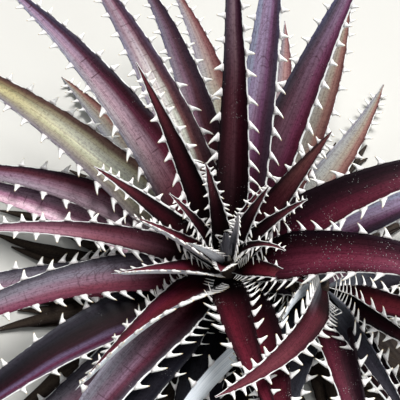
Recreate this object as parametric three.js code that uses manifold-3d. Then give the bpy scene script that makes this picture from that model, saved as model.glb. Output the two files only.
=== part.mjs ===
// A dyckia bromeliad, cut at the foot of its stem: a rosette of stiff tapering leaves with hooked
// spines along both margins, and a smaller offset rosette on a short runner from the same stem.
// Millimetres, +Z up. The origin is the middle of the stem's flat cut foot, on the surface it rests on.
import * as THREE from "three";
import { mergeVertices } from "three/addons/utils/BufferGeometryUtils.js";
import Module from "manifold-3d";

const wasm = await Module();
wasm.setup();

// ---- driving dimensions ----
const CROWN_HEIGHT = 52; // growing point above the surface
const CROWN_RADIUS = 3; // stem radius at the growing point
const LEAF_STEP_DOWN = 0.95; // each older leaf springs this much lower on the stem
const LEAF_STEP_OUT = 0.42; // and this much further from its axis
const FOOT_RADIUS = 19; // flat cut foot of the stem
const FOOT_HEIGHT = 9; // height of the bare stub under the lowest leaves
const STEM_SIDES = 12;
// Rings left by shed leaves round the bare stub: [radius beyond FOOT_RADIUS, share of FOOT_HEIGHT].
const STUB_RINGS = [
  [0, 0],
  [1, 0.3],
  [-0.5, 0.5],
  [1.4, 0.8],
];
const CROWN_DOME = 1.5; // how far the growing point bulges above the cone
const BUD_ROOT = { radius: 1.8, lift: 3.2 }; // where a bud's leaves start, off the axis and above the crown
// The heart that they grow from: [radius, height above the stem's dome].
const BUD_HEART = [
  [2.6, 0.3],
  [2.6, 4],
  [1.4, 8],
];
const BUD_POINT = 4; // length of its pointed end
const BUD_SIDES = 6;

// How deep each kind of leaf is channelled: rise of its margins as a share of its half width.
const YOUNG_CHANNEL = 0.5;
const INNER_CHANNEL = 0.34;
const OUTER_CHANNEL = 0.2;
const OFFSET_CHANNEL = 0.4;

const LEAF_COLOURS = {
  maroon: 0x471a22,
  purple: 0x553545,
  cream: 0xa8a48c,
  olive: 0x76725c,
  silver: 0xb4bec0,
};
const STEM_COLOUR = 0x4b3a2c;
const LEAF_ROUGHNESS = 0.42;

const ROOT_SEARCH = 15; // furthest that a leaf's root is drawn back, or out, to meet the stem
const ROOT_STEP = 0.1;
const SEAT_GAP = 0.35; // clearance between neighbouring leaves
const STEM_GAP = 0.28; // and where a leaf is cut back from the stem
const SMALLEST_FEATURE = 0.01; // slivers left by a cut that are smaller than this are closed up
const MARGIN_THICK = 1.0; // thickness of a leaf at its margins
const THICK_SHARE = 0.11; // extra thickness along the middle, as a share of the width
const BASE_THIN = 0.2; // share of that extra thickness left at the base
const BULK_RUN_IN = 4; // how fast it grows from there, as a share for each share of the length
const BULK_POWER = 0.6; // how it fades towards the tip
const CHANNEL_FLOOR = 0.45; // half width of the channel's flat floor, as a share of the half width
const KEEL_FLAT = 0.42; // the same for the flat along the underside
const UNDER_INSET = 0.97; // the lower edge of a margin, as a share of the upper edge's half width
const BASE_SHARE = 0.44; // width of a leaf where it leaves the stem, as a share of its full width
const FULL_AT = 0.2; // share of its length where a leaf is widest
const TAPER_POWER = 0.92; // how the width falls off to the tip: less is blunter
const TAPER_SWELL = 0.35; // extra width kept along the outer half
const CLASP_END = 0.16; // share of its length over which a leaf's base curls round the stem
const CLASP_EASE = 8; // how much gentler that curl is than the stem's own
const LAST_RING = 0.98; // the rings are drawn a little towards the root, clear of the sharp tip

// Stretches of a leaf, each with a pair of spines: [leaves shorter than this, stretches].
const STRETCHES = [
  [100, 6],
  [200, 8],
  [300, 9],
];
const BUD_STRETCHES = 3;
const BARE_BASE_FROM = 200; // leaves this long have no spines in their second stretch either
const SPINE_LENGTH = 6.5; // how far a full-grown spine stands out from the margin
const SPINE_FOOT = 4.4; // length of its flared foot along the margin
const SPINE_FOOT_MOST = 0.8; // most of a stretch that a spine's foot may take up
const SPINE_HOOK = 2.6; // how far its tip leans back towards the stem
const SPINE_UNHOOK = 1.5; // how soon the spines along a leaf lean forwards instead
const SPINE_LIFT = 0.12; // how far its tip rises, as a share of its length
const SPINE_LEAST = 0.45; // size of the spines on the shortest leaves, as a share of full size
const SPINE_FULL_LEAF = 260; // length of leaf over which they would grow by one full size more
const SPINE_FADE = 0.35; // how much smaller the spines are at a leaf's tip

// Offset rosette: its growing point and the runner that joins it to the main stem.
const OFFSET_CROWN = new THREE.Vector3(70, -14, 42);
const OFFSET_FOOT_RADIUS = 9;
const OFFSET_CROWN_RADIUS = 4;
const OFFSET_STEP_DOWN = 2.2;
const OFFSET_STEP_OUT = 0.45;
const OFFSET_WAIST = [1, 0.25]; // its stem's waist: [radius under the foot's, share of the crown's height]
const OFFSET_DOME = 1;
const RUNNER_RADIUS = 6;
// The runner's middle line: [share of the way to the offset, height above RUNNER_RADIUS].
const RUNNER_LINE = [
  [0.1, 1.5],
  [0.4, 1],
  [0.7, 1],
  [1, 2],
];
const RUNNER_STEPS = 6;
const RUNNER_SIDES = 8;

// ---- leaves ----
// One row a leaf, youngest first: place down the stem, heading (degrees from +X towards +Y), sweep
// (change of heading along the leaf), rise (slope at the base), bend (change of slope along the
// leaf), length, full width, roll (turn of the blade about its own length), twist (change of roll)
// and, where it isn't the usual one of its group, its colour.
const YOUNG_LEAVES = [
  [2, 30, 3, 80, 12, 61, 9, 0, 0],
  [3, 257, 8, 60, -4, 46, 13, 0, 0],
  [4, 207, 2, 71, -12, 60, 12, 50, 0],
  [5, 49, -8, 64, -12, 67, 16, 0, 0],
  [6, 10, -50, 80, -66, 58, 9, 0, 0],
  [7, 141, 13, 61, -17, 69, 12, 0, 0],
  [8, 72, -34, 49, -20, 60, 11, 0, 0],
  [9, 105, 10, 66, -9, 80, 17, 0, 0],
  [10, 30, -17, 58, -24, 77, 15, 0, 0],
  [11, 174, 2, 56, -18, 85, 18, 22, 20],
];
const INNER_LEAVES = [
  [12, 340, -11, 36, -24, 60, 17, 0, 0],
  [13, 206, 0, 46, -12, 101, 22, 14, 38],
  [14, 154, 8, 47, -12, 119, 23, 0, 0],
  [15, 40, -1, 50, -6, 122, 28, 0, 0],
  [16, 274, 17, 37, -20, 156, 29, 0, 0],
  [17, 118, 7, 52, -14, 157, 23, 0, 0],
  [18, 220, 19, 36, -22, 155, 29, 6, 62],
  [19, 167, 22, 26, -26, 188, 23, 0, 0],
  [20, 84, 12, 40, -14, 260, 28, 0, 0],
];
const OUTER_LEAVES = [
  [21, 356, -28, 48, -64, 230, 44, 0, 0],
  [22, 292, -32, 34, -18, 212, 38, 0, 0, "maroon"],
  [23, 229, 14, 20, -24, 252, 38, 0, 0],
  [24, 30, -26, 33, -46, 245, 42, 0, 0],
  [25, 76, 10, 35, -12, 282, 38, 0, 0],
  [26, 121, 22, 34, -21, 270, 43, 0, 0],
  [27, 184, 34, 22, -32, 245, 36, 0, 0],
  [28, 145, 34, 18, -32, 248, 35, 0, 0],
  [29, 66, -6, 32, -14, 270, 42, 0, 0],
  [30, 106, 22, 28, -16, 273, 42, 0, 0, "cream"],
  [31, 205, 22, 16, -22, 248, 42, 0, 0, "maroon"],
  [32, 94, 26, 20, -15, 265, 37, 0, 0],
  [33, 137, 17, 24, -19, 285, 45, 0, 0, "cream"],
  [33, 54, 26, 17, -15, 255, 38, 0, 0, "olive"],
  [36, 84, 34, 14, -13, 260, 40, 0, 0, "olive"],
  [36, 157, 10, 14, -18, 240, 36, 0, 0],
  [36, 237, 2, 15, -16, 242, 36, 0, 0],
  [39, 66, 24, 8, -6, 225, 36, 0, 0],
  [40, 257, 0, -0.6, -6, 215, 40, 0, 0],
  [42, 44, 22, 0, -6, 220, 38, 0, 0],
  [41, 219, 0, -0.8, -5, 215, 44, 0, 0],
  [35, 19, 8, 13, -13, 235, 36, 0, 0],
  [40, 2, 4, -0.6, -6, 215, 38, 0, 0],
  [35, 288, -4, 13, -14, 205, 34, 0, 0],
  [41, 178, 6, -0.5, -5.5, 225, 42, 0, 0],
  [42, 120, 10, 0, -6, 225, 44, 0, 0],
];
const OFFSET_LEAVES = [
  [1, 258, -45, 42, -18, 168, 24, -56, 46],
  [2, 215, 34, 52, -44, 60, 20, 84, 0],
  [3, 248, 10, 36, -6, 56, 9, 80, 0],
  [4, 232, 4, 8, -10, 95, 22, 0, 0],
  [5, 318, -4, 24, -14, 110, 15, 30, 0],
  [6, 296, -4, 20, -12, 120, 18, 30, 0],
  [7, 278, 2, 18, -16, 150, 30, 0, 0],
  [8, 336, -4, 30, -26, 130, 24, 0, 0],
  [9, 250, 4, 8, -10, 140, 26, 0, 0],
  [10, 8, 4, 20, -24, 120, 22, 0, 0],
  [11, 300, 0, 8, -10, 140, 28, 0, 0],
  [9, 214, 26, 6, -8, 175, 28, 60, 110, "silver"], // turned over, so its pale underside shows
];
// The folded leaves in the heart of each rosette, still without spines.
const BUD_LEAVES = [
  [0, 255, 0, 86, 16, 34, 9, 0, 0],
  [0, 336, 0, 84, 2, 24, 6, 0, 0],
  [0, 115, 0, 84, 2, 28, 7, 0, 0],
  [0, 188, 0, 82, 4, 24, 6, 0, 0],
];

// ---- one leaf ----
const rad = THREE.MathUtils.degToRad;
const PATH_STEPS = 40;
const RING_POINTS = 8;

// A unit vector with this heading and slope.
function direction(heading, slope) {
  const flat = Math.cos(slope);
  return new THREE.Vector3(flat * Math.cos(heading), flat * Math.sin(heading), Math.sin(slope));
}

// The middle line of a leaf's upper face, with the blade's own directions at each step.
function leafPath(spec) {
  const { heading, sweep, rise, bend, length, roll, twist } = spec;
  const path = [];
  const at = spec.root.clone();
  for (let i = 0; i <= PATH_STEPS; i++) {
    const v = i / PATH_STEPS;
    const h = rad(heading + sweep * v);
    const a = rad(rise + bend * v);
    const r = rad(roll + twist * v);
    const along = direction(h, a);
    const level = new THREE.Vector3(-Math.sin(h), Math.cos(h), 0);
    const face = new THREE.Vector3().crossVectors(along, level);
    const side = level.clone().multiplyScalar(Math.cos(r)).addScaledVector(face, Math.sin(r));
    const up = new THREE.Vector3().crossVectors(along, side);
    path.push({ at: at.clone(), along, side, up });
    const mid = rad(rise + bend * (v + 0.5 / PATH_STEPS));
    const turn = rad(heading + sweep * (v + 0.5 / PATH_STEPS));
    at.addScaledVector(direction(turn, mid), length / PATH_STEPS);
  }
  return path;
}

// Width of a leaf at a share v of its length, as a share of its full width.
function widthShare(v) {
  const base = Math.min(1, BASE_SHARE + ((1 - BASE_SHARE) * v) / FULL_AT);
  return base * Math.pow(1 - v, TAPER_POWER) * (1 + TAPER_SWELL * v);
}

// Eight points round the leaf at step i: left margin, the two sides of the channel's floor, right
// margin, then back underneath.
function leafRing(spec, path, i, grow) {
  const v = i / PATH_STEPS;
  const { at, along, side, up } = path[i];
  const half = (spec.width * widthShare(v)) / 2;
  const dip = half * spec.channel;
  const grown = Math.min(1, BASE_THIN + BULK_RUN_IN * v) * Math.pow(1 - v, BULK_POWER);
  const bulk = THICK_SHARE * spec.width * grown;
  const clasp = Math.max(0, 1 - v / CLASP_END) / (2 * spec.stemRadius + CLASP_EASE);
  const point = (across, height) =>
    at
      .clone()
      .addScaledVector(side, across)
      .addScaledVector(up, height)
      .addScaledVector(along, -across * across * clasp);
  const edge = half + grow;
  const under = dip - MARGIN_THICK - grow;
  return [
    point(edge, dip + grow),
    point(CHANNEL_FLOOR * edge, grow),
    point(-CHANNEL_FLOOR * edge, grow),
    point(-edge, dip + grow),
    point(-edge * UNDER_INSET, under),
    point(-KEEL_FLAT * edge, -MARGIN_THICK - bulk - grow),
    point(KEEL_FLAT * edge, -MARGIN_THICK - bulk - grow),
    point(edge * UNDER_INSET, under),
  ];
}

// How far a root point is drawn back along the leaf until it lies just off the leafy cone of its stem.
function reachToStem(point, spec, along) {
  const over = (s) => {
    const p = point.clone().addScaledVector(along, -s);
    return Math.hypot(p.x - spec.foot.x, p.y - spec.foot.y) - spec.coneRadius(p.z) - SEAT_GAP;
  };
  let reach = -ROOT_SEARCH;
  while (reach < ROOT_SEARCH && over(reach) > 0) reach += ROOT_STEP;
  return reach - ROOT_STEP;
}

// A closed leaf: rings along its path, a flat root, a sharp tip, and in each stretch between two
// rings one spine raised from each margin. grow adds clearance all round.
function leafSolid(spec, grow = 0) {
  const path = leafPath(spec);
  const cells = spec.inBud ? BUD_STRETCHES : STRETCHES.find(([limit]) => spec.length < limit)[1];
  const bareCells = spec.inBud ? cells : spec.length < BARE_BASE_FROM ? 1 : 2;
  const stations = [];
  for (let k = 0; k < cells; k++) stations.push(Math.round((k / cells) * PATH_STEPS * LAST_RING));
  const rings = stations.map((i) => leafRing(spec, path, i, grow));
  if (!spec.inBud) seatRoot(rings[0], spec, path, grow);
  const leaf = { spec, path, stations, grow, points: [], faces: [] };
  leaf.ids = rings.map((ring) => ring.map((p) => addPoint(leaf, p)));
  for (let k = 0; k + 1 < cells; k++) addStretch(leaf, k, k >= bareCells);
  closeEnds(leaf);
  return solidFrom(leaf.points, leaf.faces);
}

function addPoint(leaf, p) {
  return leaf.points.push(p) - 1;
}

function addQuad(leaf, a, b, c, d) {
  leaf.faces.push([a, b, c], [a, c, d]);
}

// Draws a leaf's first ring back along the leaf, point by point, to just off its stem.
function seatRoot(ring, spec, path, grow) {
  const { along } = path[0];
  const reach = leafRing(spec, path, 0, 0).map((p) => reachToStem(p, spec, along));
  ring.forEach((p, m) => p.addScaledVector(along, -reach[m] - grow));
}

// The skin from ring k to the next.
function addStretch(leaf, k, spined) {
  const [a, b] = [leaf.ids[k], leaf.ids[k + 1]];
  addQuad(leaf, a[1], a[2], b[2], b[1]);
  addQuad(leaf, a[5], a[6], b[6], b[5]);
  for (const left of [true, false]) {
    const [topEdge, topIn, lowIn, lowEdge] = left ? [0, 1, 6, 7] : [3, 2, 5, 4];
    const turn = left
      ? (x, y, z) => leaf.faces.push([x, z, y])
      : (x, y, z) => leaf.faces.push([x, y, z]);
    const top = spined ? splitEdge(leaf, k, topEdge) : [a[topEdge], b[topEdge]];
    const low = spined ? splitEdge(leaf, k, lowEdge) : [a[lowEdge], b[lowEdge]];
    stripToEdge(turn, a[topIn], b[topIn], top);
    stripToEdge((x, y, z) => turn(x, z, y), a[lowIn], b[lowIn], low);
    if (spined) addSpinedMargin(leaf, k, left, turn, top, low);
    else marginPanel(turn, top, low, 0);
  }
}

function marginPanel(turn, top, low, j) {
  turn(top[j], low[j], low[j + 1]);
  turn(top[j], low[j + 1], top[j + 1]);
}

// The margin's narrow face, with a four-sided spine standing on its middle part.
function addSpinedMargin(leaf, k, left, turn, top, low) {
  marginPanel(turn, top, low, 0);
  marginPanel(turn, top, low, 2);
  const apex = addPoint(leaf, spineTip(leaf, k, left));
  turn(top[1], low[1], apex);
  turn(low[1], low[2], apex);
  turn(low[2], top[2], apex);
  turn(top[2], top[1], apex);
}

// A margin's line from ring k to the next, with the two ends of a spine's foot on it.
function splitEdge(leaf, k, m) {
  const p = leaf.points[leaf.ids[k][m]];
  const q = leaf.points[leaf.ids[k + 1][m]];
  const length = SPINE_FOOT * spineScale(leaf, k) + 3 * leaf.grow;
  const foot = Math.min(SPINE_FOOT_MOST, length / p.distanceTo(q));
  return [
    leaf.ids[k][m],
    addPoint(leaf, p.clone().lerp(q, 0.5 - foot / 2)),
    addPoint(leaf, p.clone().lerp(q, 0.5 + foot / 2)),
    leaf.ids[k + 1][m],
  ];
}

function spineTip(leaf, k, left) {
  const { path, stations, points, ids, grow } = leaf;
  const m = left ? 0 : 3;
  const { side, up, along } = path[Math.round((stations[k] + stations[k + 1]) / 2)];
  const size = spineScale(leaf, k);
  const lean = 1 - (SPINE_UNHOOK * stations[k]) / PATH_STEPS;
  return points[ids[k][m]]
    .clone()
    .lerp(points[ids[k + 1][m]], 0.5)
    .addScaledVector(side, (left ? 1 : -1) * (SPINE_LENGTH * size + 2 * grow))
    .addScaledVector(up, -MARGIN_THICK / 2 + SPINE_LIFT * SPINE_LENGTH * size)
    .addScaledVector(along, -SPINE_HOOK * size * lean);
}

// Full spines on full leaves, smaller ones on young leaves and towards every tip.
function spineScale(leaf, k) {
  const size = Math.min(1, SPINE_LEAST + leaf.spec.length / SPINE_FULL_LEAF);
  return size * (1 - (SPINE_FADE * leaf.stations[k]) / PATH_STEPS);
}

// The sharp tip, and the flat root.
function closeEnds(leaf) {
  const { at, along } = leaf.path[PATH_STEPS];
  const end = addPoint(leaf, at.clone().addScaledVector(along, leaf.grow));
  const last = leaf.ids[leaf.ids.length - 1];
  for (let m = 0; m < RING_POINTS; m++) leaf.faces.push([last[m], last[(m + 1) % RING_POINTS], end]);
  const first = leaf.ids[0];
  addQuad(leaf, first[0], first[7], first[6], first[1]);
  addQuad(leaf, first[1], first[6], first[5], first[2]);
  addQuad(leaf, first[2], first[5], first[4], first[3]);
}

// Triangles from two inner points to a margin's line of two or four points.
function stripToEdge(turn, inner0, inner1, line) {
  const split = Math.ceil(line.length / 2) - 1;
  for (let j = 0; j + 1 < line.length; j++) turn(j <= split ? inner0 : inner1, line[j], line[j + 1]);
  turn(inner0, line[split + 1], inner1);
}

// ---- solids ----
function solidFrom(points, faces) {
  const vertProperties = new Float32Array(points.length * 3);
  points.forEach((p, i) => vertProperties.set([p.x, p.y, p.z], i * 3));
  return new wasm.Manifold(
    new wasm.Mesh({ numProp: 3, vertProperties, triVerts: new Uint32Array(faces.flat()) }),
  );
}

function solidOfGeometry(geometry) {
  const bare = geometry.clone().deleteAttribute("normal").deleteAttribute("uv");
  const merged = mergeVertices(bare, 1e-4);
  return new wasm.Manifold(
    new wasm.Mesh({
      numProp: 3,
      vertProperties: new Float32Array(merged.attributes.position.array),
      triVerts: new Uint32Array(merged.index.array),
    }),
  );
}

// A solid of revolution about a standing axis, from its outline of [radius, height] pairs.
function turned(outline, x, y, sides = STEM_SIDES) {
  const shape = outline.map(([r, z]) => new THREE.Vector2(r, z));
  const geometry = new THREE.LatheGeometry(shape, sides);
  geometry.rotateX(Math.PI / 2);
  geometry.translate(x, y, 0);
  return solidOfGeometry(geometry);
}

// The stem: a leafy cone on a bare ringed stub, the runner, and the offset's own thinner stem.
function stemSolid(grow = 0) {
  return mainStem(grow).add(runnerSolid(grow)).add(offsetStem(grow));
}

function mainStem(grow) {
  const oldest = Math.max(...OUTER_LEAVES.map((row) => row[0]));
  const { stemRadius, height } = onMainStem(oldest);
  const rings = STUB_RINGS.map(([out, share]) => [
    FOOT_RADIUS + out + grow,
    share > 0 ? share * FOOT_HEIGHT : -grow,
  ]);
  const outline = [
    [0, -grow],
    ...rings,
    [stemRadius + grow, height],
    [CROWN_RADIUS + grow, CROWN_HEIGHT],
    [0, CROWN_HEIGHT + CROWN_DOME + grow],
  ];
  return turned(outline, 0, 0);
}

function offsetStem(grow) {
  const lowest = Math.max(...OFFSET_LEAVES.map((row) => row[0]));
  const { stemRadius, height } = onOffset(lowest);
  const { x, y, z } = OFFSET_CROWN;
  const [waistIn, waistShare] = OFFSET_WAIST;
  const outline = [
    [0, -grow],
    [OFFSET_FOOT_RADIUS + grow, -grow],
    [OFFSET_FOOT_RADIUS - waistIn + grow, z * waistShare],
    [stemRadius + grow, height],
    [OFFSET_CROWN_RADIUS + grow, z],
    [0, z + OFFSET_DOME + grow],
  ];
  return turned(outline, x, y);
}

// The runner leaves the stub above its foot, dips and ends inside the offset's stem.
function runnerSolid(grow) {
  const { x, y } = OFFSET_CROWN;
  const line = RUNNER_LINE.map(
    ([share, lift]) => new THREE.Vector3(x * share, y * share, RUNNER_RADIUS + lift),
  );
  const section = new THREE.Shape();
  section.absarc(0, 0, RUNNER_RADIUS + grow, 0, Math.PI * 2);
  const geometry = new THREE.ExtrudeGeometry(section, {
    steps: RUNNER_STEPS,
    extrudePath: new THREE.CatmullRomCurve3(line),
    curveSegments: RUNNER_SIDES / 2,
  });
  return solidOfGeometry(geometry);
}

// A bud: its few leaves fused with the heart they grow from.
function budSolid(place, grow = 0) {
  const crown = place(0);
  const budPlace = () => ({ ...crown, stemRadius: BUD_ROOT.radius, height: crown.height + BUD_ROOT.lift });
  const leaves = leafSpecs(BUD_LEAVES, YOUNG_CHANNEL, budPlace, "silver");
  const floor = crown.height + crown.dome;
  const top = floor + BUD_HEART[BUD_HEART.length - 1][1] + BUD_POINT;
  const outline = [
    [0, floor + BUD_HEART[0][1]],
    ...BUD_HEART.map(([radius, z]) => [radius + grow, floor + z]),
    [0, top + grow],
  ];
  const heart = turned(outline, crown.foot.x, crown.foot.y, BUD_SIDES);
  return leaves.reduce((bud, spec) => bud.add(leafSolid({ ...spec, inBud: true }, grow)), heart);
}

// ---- the plant ----
// Every leaf springs from the stem at its own height. Where leaf bases press on each other, the
// older, lower leaf gives way and keeps its gap.
function leafSpecs(rows, channel, place, usualTint) {
  return rows.map(([rank, heading, sweep, rise, bend, length, width, roll, twist, tint = usualTint]) => {
    const { stemRadius, foot, height, coneRadius } = place(rank);
    const root = new THREE.Vector3(Math.cos(rad(heading)), Math.sin(rad(heading)), 0)
      .multiplyScalar(stemRadius)
      .add(foot)
      .setZ(height);
    const shape = { heading, sweep, rise, bend, length, width, roll, twist, channel };
    return { ...shape, stemRadius, foot, coneRadius, root, tint };
  });
}

const onMainStem = (rank) => ({
  stemRadius: CROWN_RADIUS + LEAF_STEP_OUT * rank,
  foot: new THREE.Vector3(),
  dome: CROWN_DOME,
  height: CROWN_HEIGHT - LEAF_STEP_DOWN * rank,
  coneRadius: (z) => Math.max(0, CROWN_RADIUS + (LEAF_STEP_OUT * (CROWN_HEIGHT - z)) / LEAF_STEP_DOWN),
});
const onOffset = (rank) => ({
  stemRadius: OFFSET_CROWN_RADIUS + OFFSET_STEP_OUT * rank,
  foot: OFFSET_CROWN,
  dome: OFFSET_DOME,
  height: OFFSET_CROWN.z - OFFSET_STEP_DOWN * rank,
  coneRadius: (z) =>
    Math.max(0, OFFSET_CROWN_RADIUS + (OFFSET_STEP_OUT * (OFFSET_CROWN.z - z)) / OFFSET_STEP_DOWN),
});

function plantSpecs() {
  const main = [
    ...leafSpecs(YOUNG_LEAVES, YOUNG_CHANNEL, onMainStem, "maroon"),
    ...leafSpecs(INNER_LEAVES, INNER_CHANNEL, onMainStem, "maroon"),
    ...leafSpecs(OUTER_LEAVES, OUTER_CHANNEL, onMainStem, "purple"),
  ];
  const offset = leafSpecs(OFFSET_LEAVES, OFFSET_CHANNEL, onOffset, "maroon");
  return [...numbered(main, "leaf_"), ...numbered(offset, "offset_leaf_")];
}

function numbered(specs, prefix) {
  return specs.map((spec, n) => ({ ...spec, name: prefix + String(n + 1).padStart(2, "0") }));
}

function touches(a, b) {
  const p = a.boundingBox();
  const q = b.boundingBox();
  return [0, 1, 2].every((k) => p.min[k] < q.max[k] && q.min[k] < p.max[k]);
}

// The largest body left after a cut; the crumbs are dropped.
function largestBody(solid) {
  return solid.decompose().reduce((best, body) => (body.volume() > best.volume() ? body : best));
}

// Each leaf cut back from the stem and the buds, and from every younger leaf, where they would meet.
function fittedLeaves(specs) {
  const buds = [budSolid(onMainStem, SEAT_GAP), budSolid(onOffset, SEAT_GAP)];
  const grown = [...buds, ...specs.map((spec) => leafSolid(spec, SEAT_GAP))];
  const stem = stemSolid();
  const stemGrown = stemSolid(STEM_GAP);
  return specs.map((spec, n) => {
    let leaf = leafSolid(spec);
    if (leaf.intersect(stem).volume() > 0) leaf = leaf.subtract(stemGrown);
    const younger = grown.slice(0, n + buds.length);
    for (const other of younger) if (touches(leaf, other)) leaf = leaf.subtract(other);
    return largestBody(leaf.simplify(SMALLEST_FEATURE));
  });
}

function fittedBud(place) {
  return largestBody(budSolid(place).subtract(stemSolid(STEM_GAP)).simplify(SMALLEST_FEATURE));
}

function meshOf(name, solid, color) {
  const { vertProperties, triVerts, numProp } = solid.getMesh();
  const positions = new Float32Array((vertProperties.length / numProp) * 3);
  for (let i = 0; i < positions.length / 3; i++) {
    positions.set(vertProperties.subarray(i * numProp, i * numProp + 3), i * 3);
  }
  const geometry = new THREE.BufferGeometry();
  geometry.setAttribute("position", new THREE.BufferAttribute(positions, 3));
  geometry.setIndex(new THREE.BufferAttribute(triVerts, 1));
  const material = new THREE.MeshStandardMaterial({ color, roughness: LEAF_ROUGHNESS, metalness: 0 });
  const mesh = new THREE.Mesh(geometry, material);
  mesh.name = name;
  return mesh;
}

const specs = plantSpecs();
const plant = new THREE.Group();
plant.add(meshOf("stem", stemSolid(), STEM_COLOUR));
plant.add(meshOf("crown_bud", fittedBud(onMainStem), LEAF_COLOURS.silver));
plant.add(meshOf("offset_bud", fittedBud(onOffset), LEAF_COLOURS.silver));
fittedLeaves(specs).forEach((solid, n) => {
  const { name, tint } = specs[n];
  plant.add(meshOf(name, solid, LEAF_COLOURS[tint]));
});

export default plant;
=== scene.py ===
"""A dyckia bromeliad: a rosette of stiff spiny leaves with a small offset rosette beside it.

The scene is in metres with +Z up. Leaves and stems are measured in millimetres and scaled by MM
where a mesh is made. Every leaf replaces its plain solid and keeps to its line, with a smooth
channelled blade, hooked spines and its own bands of colour, with painted sheen and painted shade laid into
them.
"""

import math
import random

import bpy
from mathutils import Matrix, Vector
from mathutils.bvhtree import BVHTree


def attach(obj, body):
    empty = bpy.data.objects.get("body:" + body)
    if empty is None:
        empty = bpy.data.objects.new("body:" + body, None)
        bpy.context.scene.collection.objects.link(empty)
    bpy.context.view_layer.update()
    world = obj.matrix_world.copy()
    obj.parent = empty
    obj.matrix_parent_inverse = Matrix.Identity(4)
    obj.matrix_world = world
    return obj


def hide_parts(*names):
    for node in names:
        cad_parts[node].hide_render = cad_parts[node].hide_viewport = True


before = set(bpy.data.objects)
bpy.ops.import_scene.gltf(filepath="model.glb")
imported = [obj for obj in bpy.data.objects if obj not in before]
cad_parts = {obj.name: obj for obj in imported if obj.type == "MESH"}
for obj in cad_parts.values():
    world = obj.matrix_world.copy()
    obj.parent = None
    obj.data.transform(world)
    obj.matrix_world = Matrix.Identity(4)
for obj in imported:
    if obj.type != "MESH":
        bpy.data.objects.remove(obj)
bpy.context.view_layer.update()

MM = 0.001

# ---- the same dimensions as the solids, in millimetres ----
MAIN_FOOT = Vector((0, 0, 0))
CROWN_HEIGHT = 52
CROWN_RADIUS = 3
LEAF_STEP_DOWN = 0.95  # how much lower a leaf roots for each place down the stem
LEAF_STEP_OUT = 0.42  # and how much further out
OFFSET_CROWN = Vector((70, -14, 42))
OFFSET_CROWN_RADIUS = 4
OFFSET_STEP_DOWN = 2.2
OFFSET_STEP_OUT = 0.45
MARGIN_THICK = 1.0
THICK_SHARE = 0.11  # how much thicker than that a blade is in its middle, as a share of its width
BASE_THIN = 0.2  # how much of that it has at its base
BASE_SHARE = 0.44  # how wide a blade is at its base, as a share of its full width
FULL_AT = 0.2  # share of the length at which it is full
TAPER_POWER = 0.92  # how it narrows towards the tip: less keeps it wide for longer
TAPER_SWELL = 0.35  # and how far it swells on the way
CLASP_END = 0.16  # share of the length up to which a blade bends round the stem
CROWN_DOME = 1.5  # how far the growing point stands above the highest leaf's root
OFFSET_DOME = 1
FOOT_RADIUS = 19
FOOT_HEIGHT = 9
OFFSET_FOOT_RADIUS = 9
RUNNER_RADIUS = 6
RUNNER_LINE = [(0.1, 1.5), (0.4, 1), (0.7, 1), (1, 2)]  # share of the way out, height above its radius
BUD_ROOT_RADIUS = 1.8
BUD_ROOT_LIFT = 3.2
BUD_HEART = [(2.4, 0.3), (2.6, 2), (2.6, 4), (1.4, 8), (0.3, 12)]  # radius, height above the dome

# How deep a leaf's channel is, as a share of its half width.
YOUNG_CHANNEL = 0.5
INNER_CHANNEL = 0.34
OUTER_CHANNEL = 0.2
OFFSET_CHANNEL = 0.4

# ---- how finely a leaf is modelled ----
ALONG = 104  # cells along a blade
ACROSS = 12  # cells across each face
DRY_ALONG = 20  # and the same for a withered leaf
DRY_ACROSS = 4
SKIN_LAYERS = 2  # cells through a blade at its margin
BASE_SINK = 5  # how far a blade's base runs on into the stem
SINK_END = 0.05  # share of the length at which that ends
BASE_GROWTH = 4  # how fast a blade thickens from its base
TIP_THINNING = 0.6  # how it thins towards its tip: less keeps it thick for longer
THIN_HALF = 2  # where the half width is less than this, the tip is thinner still
TIP_HALF = 0.3  # half width of the hard point at the tip
CLASP_SLACK = 8  # a base clasps the stem less tightly than the stem's width asks
CHANNEL_CURVE = 2.2  # how the channel's floor turns up to the margins: more is flatter in the middle
MARGIN_FROM = 0.99  # share of the half width from which the margin is rounded
MARGIN_ROUND = 0.35  # and how far it bulges in the middle of its thickness

# ---- spines ----
SPINE_LENGTH = 7.0  # of a full-grown spine, along its curve
SCALLOP = 0.9  # how far the margin bulges at a spine's foot
SCALLOP_REACH = 3.0  # and over how long a stretch
SPINES_FROM = 0.035  # shares of the leaf's length between which its spines stand
SPINES_TO = 0.955
FIRST_SPREAD = (0.2, 0.9)  # where the first one stands after that, as a share of the pitch
LEAF_SPREAD = (0.9, 1.1)  # how far the pitch differs from leaf to leaf
PITCH_SPREAD = (0.82, 1.18)  # and from spine to spine
SHORT_LEAF_PITCH = 0.24  # the pitch on a very short leaf, as a share of a long one's
LONG_LEAF_PITCH = 290  # the length over which it grows by a whole share
SHORT_LEAF_SPINE = 0.32  # the same for the size of the spines
LONG_LEAF_SPINE = 235
# Distance between spines at shares of the leaf's length: needles at the base, then wide apart.
SPINE_PITCH = [(0.0, 3.8), (0.08, 4.6), (0.15, 7.5), (0.25, 13.0), (0.4, 18.5), (0.65, 18.5), (0.85, 11.0),
               (1.0, 6.0)]
# How far a spine's tip leans back towards the stem, as a share of its length, along the leaf.
HOOK = [(0.0, 0.15), (0.12, 0.3), (0.28, 0.9), (0.42, 0.7), (0.6, 0.1), (0.85, -0.35), (1.0, -0.5)]
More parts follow.
